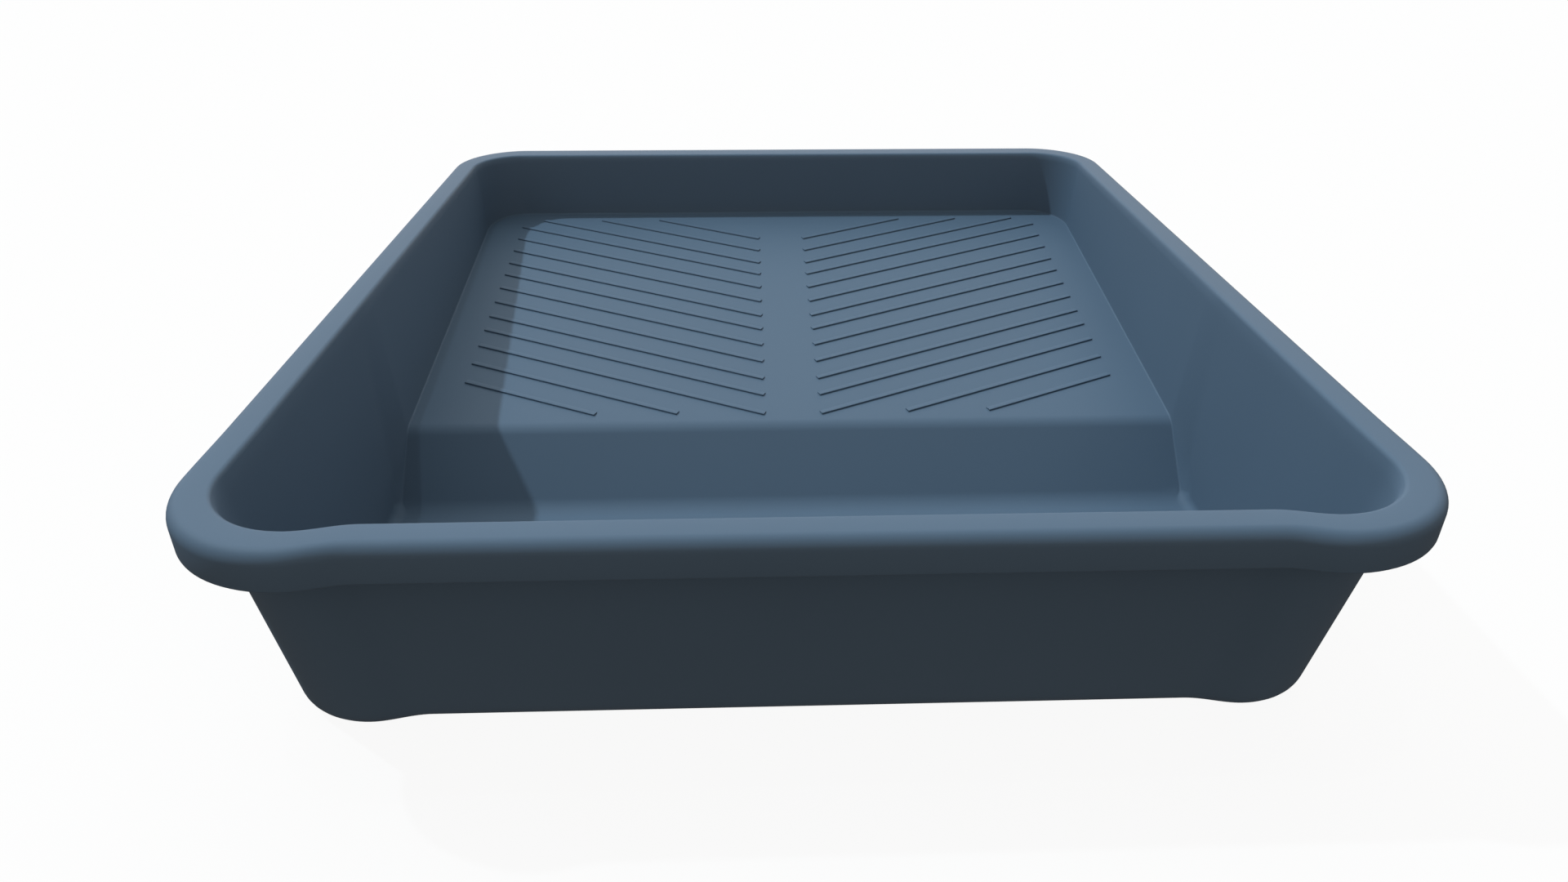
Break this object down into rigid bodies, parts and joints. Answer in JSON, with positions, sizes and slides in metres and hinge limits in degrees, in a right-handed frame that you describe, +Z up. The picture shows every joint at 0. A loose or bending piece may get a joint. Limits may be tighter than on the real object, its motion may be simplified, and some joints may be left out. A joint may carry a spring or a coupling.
{
  "type": "paint roller tray",
  "caption": "Moulded plastic paint roller tray: rolled rim, deep front well with swollen corners, and a gently sloping ramp behind it with raised ribs in a V.",
  "frame": {"origin": "centre of the rim's outline in plan, on the surface that the tray stands on", "axes": "+Z up, +Y from the paint well at the front towards the ramp's high rear end, +X to the right as seen from the well end"},
  "size_m": [0.3096, 0.348, 0.076],
  "materials": {
    "shell_plastic": "satin, injection-moulded polypropylene",
    "rib_plastic": "satin, injection-moulded polypropylene",
    "leg_plastic": "satin, injection-moulded polypropylene"
  },
  "bodies": {
    "root": {"tray_shell": "shell_plastic", "ramp_rib_left_01": "rib_plastic", "ramp_rib_left_02": "rib_plastic", "ramp_rib_left_03": "rib_plastic", "ramp_rib_left_04": "rib_plastic", "ramp_rib_left_05": "rib_plastic", "ramp_rib_left_06": "rib_plastic", "ramp_rib_left_07": "rib_plastic", "ramp_rib_left_08": "rib_plastic", "ramp_rib_left_09": "rib_plastic", "ramp_rib_left_10": "rib_plastic", "ramp_rib_left_11": "rib_plastic", "ramp_rib_left_12": "rib_plastic", "ramp_rib_left_13": "rib_plastic", "ramp_rib_left_14": "rib_plastic", "ramp_rib_left_15": "rib_plastic", "ramp_rib_right_01": "rib_plastic", "ramp_rib_right_02": "rib_plastic", "ramp_rib_right_03": "rib_plastic", "ramp_rib_right_04": "rib_plastic", "ramp_rib_right_05": "rib_plastic", "ramp_rib_right_06": "rib_plastic", "ramp_rib_right_07": "rib_plastic", "ramp_rib_right_08": "rib_plastic", "ramp_rib_right_09": "rib_plastic", "ramp_rib_right_10": "rib_plastic", "ramp_rib_right_11": "rib_plastic", "ramp_rib_right_12": "rib_plastic", "ramp_rib_right_13": "rib_plastic", "ramp_rib_right_14": "rib_plastic", "ramp_rib_right_15": "rib_plastic", "rear_leg_left": "leg_plastic", "rear_leg_right": "leg_plastic"}
  },
  "joints": []
}
